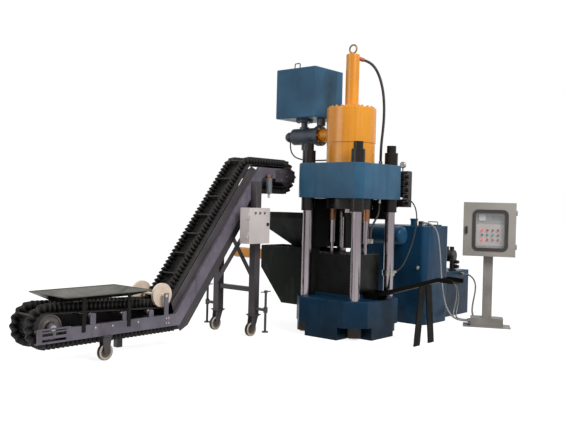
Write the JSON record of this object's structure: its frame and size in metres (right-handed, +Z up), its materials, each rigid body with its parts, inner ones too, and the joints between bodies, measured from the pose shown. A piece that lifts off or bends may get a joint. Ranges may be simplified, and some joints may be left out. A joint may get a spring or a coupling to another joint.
{
  "type": "briquetting press",
  "caption": "Column-type hydraulic briquetting press with feed hopper and pusher, sidewall belt conveyor, discharge chute, oil power unit and control pedestal.",
  "frame": {"origin": "middle of the press base's underside, on the floor", "axes": "+X along the discharge chute, +Y from the conveyor towards the power unit, +Z up"},
  "size_m": [3.01, 6.0545, 3.1905],
  "materials": {
    "press_blue": "satin petrol blue paint",
    "cylinder_yellow": "gloss orange-yellow paint",
    "column_steel": "hard-chromed bar",
    "black_steel": "blackened steel",
    "dark_green": "dark green-black paint",
    "worn_steel": "worn bare steel",
    "conveyor_grey": "purple-grey paint, rubbed",
    "belt_rubber": "dusty black rubber",
    "disc_ivory": "ivory cast plastic",
    "wheel_cream": "cream-brown castor plastic",
    "cabinet_beige": "textured beige-grey paint",
    "box_white": "off-white paint",
    "pane": "clear pane in a dark rubber gasket",
    "lock_black": "black plastic",
    "button_dark": "dark button plastic",
    "button_green": "green button plastic",
    "hose_black": "black hose rubber",
    "conduit_grey": "light grey corrugated plastic",
    "fitting_steel": "plated steel"
  },
  "bodies": {
    "machine": {"press_base": "press_blue", "crosshead": "press_blue", "oil_tank": "press_blue", "tank_lid": "press_blue", "pump_plinth": "press_blue", "fill_tank": "press_blue", "oil_cooler": "press_blue", "main_cylinder": "cylinder_yellow", "cylinder_cover": "cylinder_yellow", "rapid_cylinder": "cylinder_yellow", "feed_cylinder": "cylinder_yellow", "tie_columns": "column_steel", "demould_cylinders": "column_steel", "ring_nuts": "black_steel", "valve_stack": "black_steel", "motor_pump": "black_steel", "discharge_chute": "black_steel", "lifting_eyes": "black_steel", "feed_bed": "dark_green", "chip_hopper": "dark_green", "prefill_valve": "dark_green", "fill_pipe": "dark_green", "conveyor_frame": "conveyor_grey", "conveyor_stand": "conveyor_grey", "loading_tray": "conveyor_grey", "gear_motor": "conveyor_grey", "conveyor_belt": "belt_rubber", "cabinet_pedestal": "cabinet_beige", "cabinet_case": "cabinet_beige", "button_panel": "cabinet_beige", "control_box": "box_white", "top_hose": "hose_black", "press_hose": "hose_black", "conduit_1": "conduit_grey", "conduit_2": "conduit_grey", "signal_cable": "conduit_grey", "hose_fittings": "fitting_steel"},
    "ram": {"main_ram": "column_steel", "punch": "black_steel"},
    "mould": {"mould_block": "black_steel", "demould_rods": "column_steel"},
    "pusher": {"feed_pusher": "worn_steel"},
    "head_drum_body": {"head_drum": "worn_steel"},
    "tail_drum_body": {"tail_drum": "worn_steel"},
    "disc_body": {"deflection_discs": "disc_ivory"},
    "front_wheel_body": {"front_wheel": "wheel_cream"},
    "swivel_near": {"swivel_fork_near": "conveyor_grey"},
    "swivel_far": {"swivel_fork_far": "conveyor_grey"},
    "wheel_near": {"rear_wheel_near": "wheel_cream"},
    "wheel_far": {"rear_wheel_far": "wheel_cream"},
    "jack_near_body": {"jack_near": "worn_steel"},
    "jack_far_body": {"jack_far": "worn_steel"},
    "box_door": {"control_box_door": "box_white"},
    "outer_door": {"cabinet_door": "cabinet_beige", "door_window": "pane"},
    "lock_lever": {"door_handle": "lock_black"},
    "button_1": {"push_button_1": "button_dark"},
    "button_2": {"push_button_2": "button_green"},
    "button_3": {"push_button_3": "button_green"},
    "button_4": {"push_button_4": "button_dark"}
  },
  "joints": [
    {"name": "ram_slide", "type": "slide", "parent": "machine", "child": "ram", "axis": [0, 0, 1], "range_m": [-0.32, 0]},
    {"name": "mould_lift", "type": "slide", "parent": "machine", "child": "mould", "axis": [0, 0, 1], "range_m": [0, 0.07]},
    {"name": "feed_slide", "type": "slide", "parent": "machine", "child": "pusher", "axis": [1, 0, 0], "range_m": [0, 0.52]},
    {"name": "head_spin", "type": "hinge", "parent": "machine", "child": "head_drum_body", "pos_m": [-0.83, -0.3, 1.713], "axis": [1, 0, 0], "continuous": true},
    {"name": "tail_spin", "type": "hinge", "parent": "machine", "child": "tail_drum_body", "pos_m": [-0.83, -3.29, 0.341], "axis": [1, 0, 0], "continuous": true},
    {"name": "disc_spin", "type": "hinge", "parent": "machine", "child": "disc_body", "pos_m": [-0.83, -2.085, 0.513], "axis": [1, 0, 0], "continuous": true},
    {"name": "front_roll", "type": "hinge", "parent": "machine", "child": "front_wheel_body", "pos_m": [-0.625, -2.761, 0.075], "axis": [1, 0, 0], "continuous": true},
    {"name": "near_swivel", "type": "hinge", "parent": "machine", "child": "swivel_near", "pos_m": [-0.565, -0.91, 0.222], "axis": [0, 0, 1], "continuous": true},
    {"name": "far_swivel", "type": "hinge", "parent": "machine", "child": "swivel_far", "pos_m": [-1.095, -0.91, 0.222], "axis": [0, 0, 1], "continuous": true},
    {"name": "near_roll", "type": "hinge", "parent": "swivel_near", "child": "wheel_near", "pos_m": [-0.565, -0.95, 0.075], "axis": [1, 0, 0], "continuous": true},
    {"name": "far_roll", "type": "hinge", "parent": "swivel_far", "child": "wheel_far", "pos_m": [-1.095, -0.95, 0.075], "axis": [1, 0, 0], "continuous": true},
    {"name": "near_jack", "type": "slide", "parent": "machine", "child": "jack_near_body", "axis": [0, 0, 1], "range_m": [-0.05, 0.06]},
    {"name": "far_jack", "type": "slide", "parent": "machine", "child": "jack_far_body", "axis": [0, 0, 1], "range_m": [-0.05, 0.06]},
    {"name": "box_door_hinge", "type": "hinge", "parent": "machine", "child": "box_door", "pos_m": [-0.4055, -1.199, 1.175], "axis": [0, 0, -1], "range_deg": [0, 110]},
    {"name": "outer_door_hinge", "type": "hinge", "parent": "machine", "child": "outer_door", "pos_m": [1.23211, 1.66147, 1.1665], "axis": [0, 0, 1], "range_deg": [0, 110]},
    {"name": "lock_turn", "type": "hinge", "parent": "outer_door", "child": "lock_lever", "pos_m": [0.71452, 1.42015, 1.157], "axis": [-0.4384, 0.8988, 0], "range_deg": [0, 90]},
    {"name": "button_1_press", "type": "slide", "parent": "machine", "child": "button_1", "axis": [-0.4384, 0.8988, 0], "range_m": [0, 0.005], "stiffness_N_per_m": 800},
    {"name": "button_2_press", "type": "slide", "parent": "machine", "child": "button_2", "axis": [-0.4384, 0.8988, 0], "range_m": [0, 0.005], "stiffness_N_per_m": 800},
    {"name": "button_3_press", "type": "slide", "parent": "machine", "child": "button_3", "axis": [-0.4384, 0.8988, 0], "range_m": [0, 0.005], "stiffness_N_per_m": 800},
    {"name": "button_4_press", "type": "slide", "parent": "machine", "child": "button_4", "axis": [-0.4384, 0.8988, 0], "range_m": [0, 0.005], "stiffness_N_per_m": 800}
  ],
  "couplings": [
    {"joint": "tail_spin", "follows": "head_spin", "ratio": 1},
    {"joint": "disc_spin", "follows": "head_spin", "ratio": -0.95}
  ]
}
